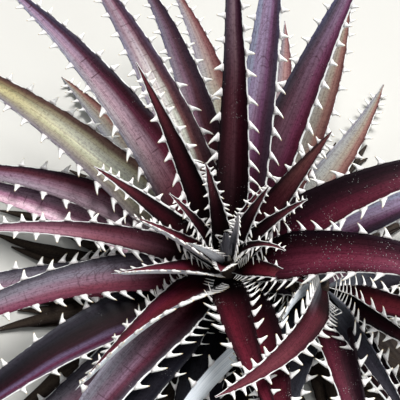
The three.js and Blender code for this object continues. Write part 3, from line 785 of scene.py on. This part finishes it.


# Colours across a blade in even steps, from its left margin to its right as seen from its root:
# at its base, its middle and its outer end. They are the leaf's own colours with painted light laid
# into them: a painted sky sheen and painted highlights on the flank and middle that face the light,
# painted shade on the flank turned from it, and near-black painted shade at the base.
BANDS_WITH_PAINTED_LIGHT = {
    # Painted shade: the bud's silver is darkened for the shade deep in the crown.
    "bud": ("3a3a40 1c181c 3a3a40", "6c6e74 34303a 6c6e74", "8c8e94 5a5058 8c8e94"),
    "steel": ("848a92 60646c 484a52", "44464e 2c2a32 1c1a20", "50525c 3a3840 2c2a32"),
    "silver": ("2c2e34 1c1a20 2c2e34", "d0d4dc 9ca0a8 d0d4dc", "f0f2f6 dcdee4 f0f2f6"),
    "young": ("040203 0a0305 040203", "100709 2a0c14 12080b", "3c2c30 703840 3c2c30"),
    "red": ("0c0406 200a0e 0c0406", "200d12 50181f 5c1a26 200c11", "443032 7c3e44 743440 402024"),
    "edged": ("0c0406 200a0e 0c0406", "8c8e94 5a2430 50181f 5c1a26 54182a 200c11",
              "d0d4da c8ccd2 8c6068 743440 702c3a 54222c 402024"),
    "dusky": ("050203 0c0406 050203", "140a0e 4a1e26 52232b 180a10", "4a3436 8a5654 7c4448 402a2c"),
    "crimson": ("050203 080304 050203", "1a080d 3c1019 581624 2c0e16", "30141c 601c2c 682030 38141e"),
    "madder": ("1c0c12 38141c 3c1820 6c6c74 b4bcc4 ccd2d8", "2a0e16 501e28 582430 421820 2a0e16",
               "542630 703840 64303a 481c26"),
    "rust": ("0c0405 18080b 0c0405", "502a34 905460 885060 5c2834 2e141c",
             "94707c c09ca8 a47484 7c5060 543c46"),
    "dark": ("040203 140608 050203", "160a0e 2c0e15 48222a 543038 360f19 280a12 1c0d12",
             "4a4652 544450 786470 907880 563848 34182a 36303c"),
    "ink": ("040203 080304 040203", "0a0507 340c14 0a0507", "24181c 6a3038 241a20"),
    "wine": ("070304 1c080e 070304", "140810 30121a 541e2e 742e42 64283a 38141c",
             "40303a 402430 603242 844c5e 744054 482630"),
    "garnet": ("070304 200a12 070304", "180c12 1a0a10 2c0e18 501a2a 58202f 40161f",
               "241a22 260f18 3c1824 602838 602c3c 482030"),
    "plum": ("0c0609 200b10 10050a", "38343e 342428 50303a 644450 6c4454 6c304a 54142c 200912",
             "545470 504c5c 685868 88708a 8e728a 845474 5c2c4a 342438"),
    "grape": ("241c20 200a10 38101a 6c3a42 683c44 6c4048 74404c",
              "504e56 30101a 602034 98748a 846e7c 88848e 94909c",
              "74747e 3c1e26 782c4c 947488 8c7888 94909e 908e9c"),
    "sable": ("0a0407 140a0d 0a0406", "645464 54243c 605068 280c16 200a10 180c10 1c1a20 302e36 404046",
              "68586a 58283f 665470 2c101c 200c14 181016 1c1a20 302e36 404046"),
    "purple": ("481c26 5c2030 300c16", "787884 7c8090 8c7c98 9888a0 8c6c84 704060 44182e 38202e 302430",
               "8c90ac 989cb4 a48ca8 a890b0 a08aaa 84587c 4c2440 443a50 504e66"),
    "pink": ("38262a 50202a 58202c 541c28 4c1c28", "8c8c96 a09498 b0949e a08692 58283a 34141e 38343c",
             "9494a8 9890a4 a88ca4 9c82a0 4c2c40 40384c 646070"),
    "dusk": ("44323a 4c1822 1a090d", "84808a 8e7c84 846070 4c1a20 301219 240e15",
             "646074 706470 684a5c 401a26 2c1020 201424"),
    "mauve": ("20101a 3c141e 140810", "58182a 70303f 886474 7c7480 2c2a30",
              "6c2440 845064 94808e 7c7880 302c36"),
    "ash": ("34181e 50202a 120608", "6c5a60 8c747e 986e7c 5c2430 1c0c12",
            "80747c a0909c 98788c 602834 20101a"),
    # Painted light: the rose leaf lies in its neighbour's shadow and is painted lighter than its own colour
    # to make up for it.
    "rose": ("6c4450 8c5460 301018", "d8b4c4 e8c8d4 c08aa0 987c88 4c343e",
             "d8b0c0 e8c4d0 c48ca8 9a8090 5c4858"),
    "cream": ("54484c 644c54 28191c", "a09ca6 a89ca2 c8b8b8 fcf8ec fcfcf4 d8dccc 78504f 50343a 4c3a40",
              "78768a 807684 8c7480 a08894 ac98a4 8c6474 583848 4c3848 5c5468"),
    "pale": ("584c50 847068 685458 2a1c1e",
             "827a80 8c847c b0a894 d0d0b0 f8f8dc f8fce8 ececd8 d0c8a8 84685c 583c3c",
             "827c86 86807c 98907c b8b088 d4cc98 c0b484 9c946c 8a7458 644840 443030"),
    "ember": ("747c74 98a090 54443a", "989ca0 b4b8a4 b4b098 947464 5a2c2c",
              "8c8894 9c9498 a08884 845858 5a2c30"),
    "olive": ("6c7064 848c7c 54483c", "84868e 9c9e98 948e84 805c54 482428",
              "8c8c94 9c9c98 9c9080 906860 542c2c"),
    "salmon": ("5c5654 7c7064 54383a", "807c80 948a8c a0807c 906460 5c3032",
               "807c80 9c8c90 a88480 986c6c 6c4448"),
    # Painted shade: the low slate leaves are near black for the shade they lie in under the leaves above.
    "slate": ("121116 1e1b24 121014", "1a1a22 28262e 1e2028 100f14", "2c2c38 3c3846 2c2e38 181620"),
    # Painted shade: the withered leaves are near black, filling the gaps under the rosette with shade.
    "dead_in_shade": ("0c0807 14100d 0c0807", "1e1814 2a221d 1e1814", "322a25 443a31 322a25"),
}
# What each leaf's set of colours adds to its bands. A set that a table doesn't name takes the usual value
# below it.
SPECKS = {"wine": 0.56, "garnet": 0.5, "crimson": 0.46, "dark": 0.45}  # how much of the leaf is speckled
SPECKS_USUAL = 0.38
MARGIN_WIDTH = {"young": 0.08, "red": 0.06, "edged": 0.06, "bud": -0.3, "rust": 0.07, "madder": 0.08,
                "crimson": 0.02, "ink": 0.1, "dead_in_shade": -0.3}  # of the pale line, as a share of the blade's
MARGIN_USUAL = 0.05
MARGIN_LEAN = {"grape": -0.09, "sable": -0.05, "purple": 0.09, "plum": 0.1, "dark": 0.08, "garnet": 0.08,
               "ink": 0.06}  # towards the right margin
LEAN_USUAL = 0.02
LINES = {"pale": 0.4, "cream": 0.5, "olive": 0.45, "ember": 0.45}  # how dark the fine lines are
LINES_USUAL = 0.8
# Painted shade: a leaf's base band is near black for the shade deep in the crown; this is how far up the
# blade it reaches.
PAINTED_BASE_SHADE = {"young": 0.16, "red": 0.05, "edged": 0.05, "grape": 0.12, "dusky": 0.12, "pink": 0.17,
             "rust": 0.1, "ink": 0.2, "crimson": 0.08, "dark": 0.08, "plum": 0.1}  # how far up it is black
PAINTED_BASE_SHADE_USUAL = 0.02
BLOOM = {"purple": 0.1, "plum": 0.04, "dusk": 0.05, "grape": 0.08, "mauve": 0.05, "ash": 0.04, "rust": 0.03,
         "rose": 0.06, "dead_in_shade": 0.0}  # how thickly the wax veils it
BLOOM_USUAL = 0.004
# Marks that a set of colours lacks where its table doesn't name it, and how dark they are.
CRACKS = {"pink": 0.9, "cream": 0.6, "ash": 0.4, "rose": 0.7, "grape": 0.6, "mauve": 0.5}
BOWS = {"ash": 0.7, "purple": 0.55, "plum": 0.5, "mauve": 0.5, "grape": 0.35, "wine": 0.3, "dark": 0.3}
VEINS = {"pink": 0.7, "cream": 0.45, "rose": 0.6, "dusk": 0.4, "pale": 0.3, "purple": 0.4, "grape": 0.4}

BLOOM_SHADE = colour("9c9cb2")
PALE_SHADE = colour("e6e6e4")
MARK_SHADE = colour("38141e")
LINE_TONES = [(0.34, "9c9096"), (0.48, "f0f0f0"), (0.66, "ffffff")]
STRIPE_TONES = [(0.3, "ac949c"), (0.52, "ffffff")]
STRIPE_SHARE = 0.55
GRAIN_SHARE = 0.8
SPECK_SHARE = 0.5
LEAF_ROUGHNESS = 0.42
LEAF_SHINE = 0.045
# How far past its painted black shade at the base a leaf has its middle colours, and where the outer ones
# start and are full.
MIDDLE_FULL = 0.32
OUTER_START = 0.34
OUTER_FULL = 0.72
LEAF_RELIEF = (0.3, 0.0006)  # strength, and depth in metres
MARK_DEPTH = 0.6  # of cracks and bows, against the fine lines
BACK_ROUGHNESS = 0.5
BACK_RELIEF = (0.35, 0.0005)
# Painted shade: a back is darkened near its root, where the crown shades it, and clears between these
# shares of the length.
BACK_ROOT_SHADE = (0.02, 0.34)  # shares of the length between which a back loses its dark root
SPINE_ROUGHNESS = 0.42
SPINE_TONES = [(0.0, "d4cecc"), (0.12, "fbfaf8"), (0.86, "fbf8f0"), (0.98, "dcc498")]
BARK_ROUGHNESS = 0.85
BARK_RINGS = (1, 1, 5)  # the grain is squeezed upwards into rings
BARK_SCALE = 70
BARK_TONES = [(0.3, "160f0c"), (0.55, "36271e"), (0.75, "5e4938")]
BARK_RELIEF = (0.8, 0.0015)


def leaf_bands(n, name, across, along, streaks):
    """The leaf's colours from base to tip, with their painted sheen, highlights and shade, under the fine
    lines and the broader stripes.
    """
    base, middle, outer = BANDS_WITH_PAINTED_LIGHT[name]
    # Where the painted shade at the base ends.
    start = PAINTED_BASE_SHADE.get(name, PAINTED_BASE_SHADE_USUAL)
    body = n.mix(n.rise(along, start, start + MIDDLE_FULL), n.bands(across, base), n.bands(across, middle))
    body = n.mix(n.rise(along, start + OUTER_START, start + OUTER_FULL), body, n.bands(across, outer))
    lines = n.ramp(streaks["Lines"], LINE_TONES)
    body = n.mix(LINES.get(name, LINES_USUAL), body, lines, "MULTIPLY")
    return n.mix(STRIPE_SHARE, body, n.ramp(streaks["Stripes"], STRIPE_TONES), "MULTIPLY")


def leaf_marks(n, name, across, along, streaks):
    """The dark cracks, bows and veins that the leaf's set of colours has."""
    imprints = place_group(n, "leaf_imprints", Across=across, Along=along)
    marks = n.math("MULTIPLY", imprints["Cracks"], CRACKS.get(name, 0.0))
    for mark, strengths in ((imprints["Bows"], BOWS), (streaks["Veins"], VEINS)):
        marks = n.math("MAXIMUM", marks, n.math("MULTIPLY", mark, strengths.get(name, 0.0)))
    return marks


def leaf_material(name):
    material, n, shader = new_material("leaf_" + name, LEAF_ROUGHNESS)
    shader.inputs["Specular IOR Level"].default_value = LEAF_SHINE
    across, along, flat = place_group(n, "leaf_place")
    streaks = place_group(n, "leaf_streaks", Flat=flat)
    body = leaf_bands(n, name, across, along, streaks)
    veil = place_group(n, "leaf_bloom", Along=along, Amount=BLOOM.get(name, BLOOM_USUAL))["Veil"]
    body = n.mix(veil, body, BLOOM_SHADE)
    marks = leaf_marks(n, name, across, along, streaks)
    body = n.mix(marks, body, MARK_SHADE)
    specks = place_group(n, "leaf_specks", Amount=SPECKS.get(name, SPECKS_USUAL))
    body = n.mix(GRAIN_SHARE, body, specks["Grain"], "MULTIPLY")
    body = n.mix(n.math("MULTIPLY", specks["Specks"], SPECK_SHARE), body, PALE_SHADE)
    width = MARGIN_WIDTH.get(name, MARGIN_USUAL)
    margin = place_group(n, "leaf_margin", Width=width, Lean=MARGIN_LEAN.get(name, LEAN_USUAL))
    body = n.mix(margin["Line"], body, PALE_SHADE)
    n.link(body, shader.inputs["Base Color"])
    height = n.math("SUBTRACT", streaks["Lines"], n.math("MULTIPLY", marks, MARK_DEPTH))
    n.bump(shader, height, *LEAF_RELIEF)
    return material


def underside_material(name, root, dark, light):
    """The silvery scurf on a leaf's back, in fine lines, darkened towards its root by painted shade."""
    material, n, shader = new_material(name, BACK_ROUGHNESS)
    _, along, flat = place_group(n, "leaf_place")
    streaks = place_group(n, "leaf_streaks", Flat=flat)
    body = n.ramp(streaks["Lines"], [(0.34, dark), (0.62, light)])
    # Painted shade, darker towards the root.
    painted_root_shade = n.mix(n.rise(along, *BACK_ROOT_SHADE), colour(root), colour("ffffff"))
    n.link(n.mix(1.0, body, painted_root_shade, "MULTIPLY"), shader.inputs["Base Color"])
    n.bump(shader, streaks["Lines"], *BACK_RELIEF)
    return material


def spine_material():
    """Horny white from foot to point, with a tawny tip."""
    material, n, shader = new_material("spine", SPINE_ROUGHNESS)
    _, _, outwards = n.blade()
    n.link(n.ramp(outwards, SPINE_TONES), shader.inputs["Base Color"])
    return material


def stem_material():
    material, n, shader = new_material("stem_bark", BARK_ROUGHNESS)
    grain = n.noise(n.stretched(n.solid(), BARK_RINGS), BARK_SCALE, detail=5, rough=0.65)
    n.link(n.ramp(grain, BARK_TONES), shader.inputs["Base Color"])
    n.bump(shader, grain, *BARK_RELIEF)
    return material


def plain_material(name, code, roughness):
    material, _, shader = new_material(name, roughness)
    shader.inputs["Base Color"].default_value = colour(code)
    return material


# ---- the plant ----
# Back of a leaf: the painted shade at its root, then the dark and the light of its fine lines.
LEAF_BACK = ("8c8d94", "bcc6d0", "f6fafd")
# Painted shade: the bud's back is darkened for the shade deep in the crown.
SHADED_BUD_BACK = ("24242a", "3a3c46", "6c6e76")
# Painted shade: the withered leaves' backs are darkened the same way.
DRY_SHADED_BACK = ("55565c", "3a322c", "5c5046")


def make_plant():
    make_groups()
    leaf_materials_with_light = {name: leaf_material(name) for name in BANDS_WITH_PAINTED_LIGHT}
    back = underside_material("leaf_underside", *LEAF_BACK)
    shaded_bud_back = underside_material("shaded_bud_underside", *SHADED_BUD_BACK)
    dry_shaded_back = underside_material("dead_underside", *DRY_SHADED_BACK)
    spine_finish = spine_material()
    blank = model_blank(ACROSS, ALONG)
    dry_blank = model_blank(DRY_ACROSS, DRY_ALONG)
    spine = model_spine()
    make_leaves(blank, spine, leaf_materials_with_light, back, spine_finish)
    make_buds(blank, leaf_materials_with_light["bud"], shaded_bud_back, spine_finish)
    make_stem(dry_blank, leaf_materials_with_light["dead_in_shade"], dry_shaded_back)
    for form in (blank, dry_blank, spine):
        bpy.data.objects.remove(form)


def make_leaves(blank, spine, leaf_materials_with_light, back, spine_finish):
    leaves = all_leaves()
    blades = [blade_from(blank, leaf) for leaf in leaves]
    tree = tree_of(blades)
    for leaf, blade in zip(leaves, blades):
        spines = add_spines(leaf, spine, tree)
        for part in (blade, spines):
            paint(part, leaf_materials_with_light[leaf.finish], back, spine_finish)
        hand_in(join([blade, spines], "piece_" + leaf.name), leaf.name)


def make_buds(blank, face, back, spine_finish):
    for name, foot, crown, dome in (
        ("crown_bud", MAIN_FOOT, CROWN_HEIGHT, CROWN_DOME),
        ("offset_bud", OFFSET_CROWN, OFFSET_CROWN.z, OFFSET_DOME),
    ):
        parts = [blade_from(blank, leaf) for leaf in bud_leaves(name, foot, crown)]
        parts.append(heart(name, foot, crown + dome))
        for part in parts:
            paint(part, face, back, spine_finish)
        hand_in(join(parts, "piece_" + name), name)


def make_stem(dry_blank, face, back):
    """The grown body of both stems and the runner, with the withered leaves that still hang on it, coloured
    near black as painted shade in the gaps under the rosette.
    """
    bark = stem_material()
    parts = stem_bodies()
    for part in parts:
        paint(part, bark, bark, bark)
    # Their near-black colour is painted shade in the gaps under the rosette.
    for leaf in old_leaves():
        old = blade_from(dry_blank, leaf)
        paint(old, face, back, bark)
        parts.append(old)
    hand_in(join(parts, "piece_stem"), "stem")


def paint(obj, *materials):
    """The faces' material numbers: 0 for an upper face, 1 for a back, 2 for a spine."""
    for material in materials:
        obj.data.materials.append(material)


def hand_in(piece, node):
    recalculate(piece)
    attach(piece, "root")
    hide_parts(node)


def tree_of(blades):
    """All blades as one search tree, in millimetres."""
    points = []
    faces = []
    for blade in blades:
        start = len(points)
        points += [v.co / MM for v in blade.data.vertices]
        faces += [tuple(start + i for i in p.vertices) for p in blade.data.polygons]
    return BVHTree.FromPolygons(points, faces)


def bud_leaves(name, foot, crown):
    return [
        Leaf(name + str(n), row, YOUNG_CHANNEL, foot, BUD_ROOT_RADIUS, crown + BUD_ROOT_LIFT)
        for n, row in enumerate(BUD_LEAVES)
    ]


def heart(name, foot, floor):
    """The small body in the middle of a bud."""
    rings = [(radius, floor + height) for radius, height in BUD_HEART]
    return turned(name + "_heart", rings, foot, HEART_SIDES)


# ---- stem ----
STEM_SIDES = 48
OFFSET_STEM_SIDES = 32
HEART_SIDES = 24
FOOT_STEPS = 12  # rings up the main foot
FOOT_RIDGE = 0.7  # how far the scars of shed leaves stand out
FOOT_WAVE = 9  # radians of their wave up the foot
CONE_START = 12  # height at which the leafy cone starts
DOME_TOP = 0.6  # radius of the growing point
# The offset's foot: how far each ring stands out from its radius, and its height.
OFFSET_FOOT_RINGS = [(0, 0), (0.6, 2), (-0.6, 5), (0.3, 8), (-0.8, 11), (0, 14)]
OFFSET_LOWEST = 11  # the lowest offset leaf's place down its stem
OFFSET_DOME_TOP = 0.8


def turned(name, rings, foot, sides):
    """A round body about a standing axis, raised ring by ring from a disc."""
    bpy.ops.object.select_all(action="DESELECT")
    radius, height = rings[0]
    place = (foot.x * MM, foot.y * MM, height * MM)
    bpy.ops.mesh.primitive_circle_add(vertices=sides, radius=radius * MM, fill_type="NGON", location=place)
    obj = bpy.context.object
    bpy.ops.object.transform_apply(location=True, rotation=True, scale=True)
    edit(obj)
    bpy.ops.mesh.select_all(action="SELECT")
    for (r, z), (next_r, next_z) in zip(rings, rings[1:]):
        bpy.ops.mesh.extrude_region_move(TRANSFORM_OT_translate={"value": (0, 0, (next_z - z) * MM)})
        bpy.ops.transform.resize(
            value=(next_r / r, next_r / r, 1), center_override=(foot.x * MM, foot.y * MM, next_z * MM)
        )
    done()
    return finished_skin(obj, name)


def finished_skin(obj, name):
    """Smooth faces, and the same map name as the blades, so that the pieces join."""
    obj.name = name
    while obj.data.uv_layers:
        obj.data.uv_layers.remove(obj.data.uv_layers[0])
    obj.data.uv_layers.new(name="blade")
    for face in obj.data.polygons:
        face.use_smooth = True
    return obj


def main_stem_rings():
    """The bare foot with the rings of shed leaves, then the leafy cone up to the growing point."""
    rings = []
    for n in range(FOOT_STEPS + 1):
        share = n / FOOT_STEPS
        rings.append((FOOT_RADIUS + FOOT_RIDGE * abs(math.sin(FOOT_WAVE * share)), FOOT_HEIGHT * share))
    spread = LEAF_STEP_OUT / LEAF_STEP_DOWN
    rings.append((CROWN_RADIUS + (CROWN_HEIGHT - CONE_START) * spread, CONE_START))
    rings += [(CROWN_RADIUS, CROWN_HEIGHT), (DOME_TOP, CROWN_HEIGHT + CROWN_DOME)]
    return rings


def offset_stem_rings():
    rings = [(OFFSET_FOOT_RADIUS + swell, height) for swell, height in OFFSET_FOOT_RINGS]
    low = OFFSET_CROWN.z - OFFSET_STEP_DOWN * OFFSET_LOWEST
    rings.append((OFFSET_CROWN_RADIUS + OFFSET_STEP_OUT * OFFSET_LOWEST, low))
    rings += [(OFFSET_CROWN_RADIUS, OFFSET_CROWN.z), (OFFSET_DOME_TOP, OFFSET_CROWN.z + OFFSET_DOME)]
    return rings


def runner():
    """The creeping stem between the two rosettes: a curve with a round section, made a mesh."""
    line = bpy.data.curves.new("runner", "CURVE")
    line.dimensions = "3D"
    line.bevel_depth = RUNNER_RADIUS * MM
    line.bevel_resolution = 6
    line.resolution_u = 12
    line.use_fill_caps = True
    spline = line.splines.new("BEZIER")
    spline.bezier_points.add(len(RUNNER_LINE) - 1)
    for point, (share, lift) in zip(spline.bezier_points, RUNNER_LINE):
        place = (OFFSET_CROWN.x * share, OFFSET_CROWN.y * share, RUNNER_RADIUS + lift)
        point.co = Vector(place) * MM
        point.handle_left_type = "AUTO"
        point.handle_right_type = "AUTO"
    obj = bpy.data.objects.new("runner", line)
    PIECES.objects.link(obj)
    bpy.ops.object.select_all(action="DESELECT")
    obj.select_set(True)
    bpy.context.view_layer.objects.active = obj
    bpy.ops.object.convert(target="MESH")
    return finished_skin(bpy.context.object, "runner_skin")


def stem_bodies():
    main = turned("main_stem", main_stem_rings(), MAIN_FOOT, STEM_SIDES)
    offset = turned("offset_stem", offset_stem_rings(), OFFSET_CROWN, OFFSET_STEM_SIDES)
    return [main, offset, runner()]


# ---- withered leaves: spreads are the least and the most of a random draw ----
GOLDEN = 137.5  # degrees from one leaf to the next
OLD_LEAVES = 66
OLD_LENGTH = (125, 185)
OLD_HEIGHT = 8.6  # of the first one's root
OLD_STEP_DOWN = 3.4  # from the first one's root to the last one's
OLD_OFFSET_LEAVES = 22
OLD_OFFSET_LENGTH = (80, 120)
OLD_OFFSET_TURN = 195  # where the offset's withered leaves start, and how far round they go
OLD_OFFSET_SWING = 190
OLD_OFFSET_HEIGHT = 5
OLD_OFFSET_STEP = 0.8  # between four heights in turn
OLD_WIDTH = (20, 27)
OLD_SWEEP = (-24, 24)
OLD_CURL = (2, 6)
OLD_CHANNEL = 0.12
OLD_THICKNESS = 0.02  # as a share of the width
OLD_REST = 1.6  # height of its middle where it lies on the surface
OLD_SCALES = 34
SCALE_RISE = (8, 30)
SCALE_BEND = 20
SCALE_LENGTH = (13, 24)
SCALE_WIDTH = (14, 19)
SCALE_CHANNEL = 0.3
SCALE_THICKNESS = 0.03
SCALE_HEIGHT = (4.5, 9)
SCALE_OFFSET_HEIGHT = (5, 16)


def withered_leaf(dice, name, turn, foot, radius, height, length):
    """A dry leaf that runs from the foot of a stem down to the surface and lies on it."""
    curl = dice.uniform(*OLD_CURL)
    slope = -math.degrees(math.asin((height - OLD_REST) / length)) + curl / 2
    sweep = dice.uniform(*OLD_SWEEP)
    width = dice.uniform(*OLD_WIDTH)
    row = (0, turn, sweep, slope, -curl, length, width, 0, 0, "dead_in_shade")
    return Leaf(name, row, OLD_CHANNEL, foot, radius, height, OLD_THICKNESS)


def dry_scale(dice, name, turn, foot, radius, height):
    """The short broad base that a shed leaf leaves on the stem."""
    rise = dice.uniform(*SCALE_RISE)
    length = dice.uniform(*SCALE_LENGTH)
    width = dice.uniform(*SCALE_WIDTH)
    row = (0, turn, 0, rise, SCALE_BEND, length, width, 0, 0, "dead_in_shade")
    return Leaf(name, row, SCALE_CHANNEL, foot, radius, height, SCALE_THICKNESS)


def old_leaves():
    """Withered leaves low on both stems, close to the surface, and short dry bases round both feet."""
    dice = random.Random(SEED)
    made = []
    for n in range(OLD_LEAVES):
        height = OLD_HEIGHT - OLD_STEP_DOWN * n / OLD_LEAVES
        length = dice.uniform(*OLD_LENGTH)
        root = FOOT_RADIUS - 1
        made.append(withered_leaf(dice, "old" + str(n), n * GOLDEN, MAIN_FOOT, root, height, length))
    for n in range(OLD_OFFSET_LEAVES):
        turn = OLD_OFFSET_TURN + OLD_OFFSET_SWING * n / OLD_OFFSET_LEAVES
        height = OLD_OFFSET_HEIGHT + OLD_OFFSET_STEP * (n % 4)
        length = dice.uniform(*OLD_OFFSET_LENGTH)
        root = OFFSET_FOOT_RADIUS - 2
        made.append(withered_leaf(dice, "dry" + str(n), turn, OFFSET_CROWN, root, height, length))
    for n in range(OLD_SCALES):
        if n % 2:
            place = (OFFSET_CROWN, OFFSET_FOOT_RADIUS - 1, dice.uniform(*SCALE_OFFSET_HEIGHT))
        else:
            place = (MAIN_FOOT, FOOT_RADIUS - 0.5, dice.uniform(*SCALE_HEIGHT))
        made.append(dry_scale(dice, "scale" + str(n), n * GOLDEN, *place))
    return made


# ---- the studio, in metres, degrees and watts ----
CAMERA_AT = (-0.01872, -0.31383, 0.6791)
CAMERA_TILT = 30  # from looking straight down
CAMERA_LENS = 87.5  # millimetres, as is the sensor
CAMERA_SENSOR = 36
CAMERA_NEAR = 0.01
FLOOR_SIZE = 40
FLOOR_SHADE = "d0cec8"
FLOOR_ROUGHNESS = 0.9
GLOW_SHADE = (0.88, 0.94, 1.0, 1)
GLOW_STRENGTH = 0.19
SKY_FROM = (0.55, 0.9, 1.5)
SKY_POWER = 4.6
SKY_SPREAD = 34  # how wide a patch of sky the main light fills
FRONT_FROM = (1.4, -1.5, 1.8)
FRONT_POWER = 17
FRONT_SIZE = 1.2


def make_studio():
    make_floor()
    make_camera()
    world = bpy.data.worlds.new("studio")
    world.use_nodes = True
    background = world.node_tree.nodes["Background"]
    background.inputs["Color"].default_value = GLOW_SHADE
    background.inputs["Strength"].default_value = GLOW_STRENGTH
    bpy.context.scene.world = world
    sky = add_light("sky", "SUN", SKY_FROM, SKY_POWER)
    sky.angle = math.radians(SKY_SPREAD)
    front = add_light("front", "AREA", FRONT_FROM, FRONT_POWER)
    front.size = FRONT_SIZE
    bpy.context.scene.view_settings.view_transform = "Standard"


def make_floor():
    bpy.ops.object.select_all(action="DESELECT")
    bpy.ops.mesh.primitive_plane_add(size=FLOOR_SIZE)
    floor = bpy.context.object
    floor.name = "floor"
    paint(floor, plain_material("floor", FLOOR_SHADE, FLOOR_ROUGHNESS))


def make_camera():
    camera = bpy.data.objects.new("camera", bpy.data.cameras.new("camera"))
    camera.data.lens = CAMERA_LENS
    camera.data.sensor_width = CAMERA_SENSOR
    camera.data.clip_start = CAMERA_NEAR
    camera.location = CAMERA_AT
    camera.rotation_euler = (math.radians(CAMERA_TILT), 0, 0)
    PIECES.objects.link(camera)
    bpy.context.scene.camera = camera


def add_light(name, kind, place, power):
    """A light that shines from its place towards the middle of the plant."""
    light = bpy.data.objects.new(name, bpy.data.lights.new(name, kind))
    light.data.energy = power
    light.location = place
    light.rotation_euler = (-Vector(place)).to_track_quat("-Z", "Y").to_euler()
    PIECES.objects.link(light)
    return light.data


make_studio()
make_plant()
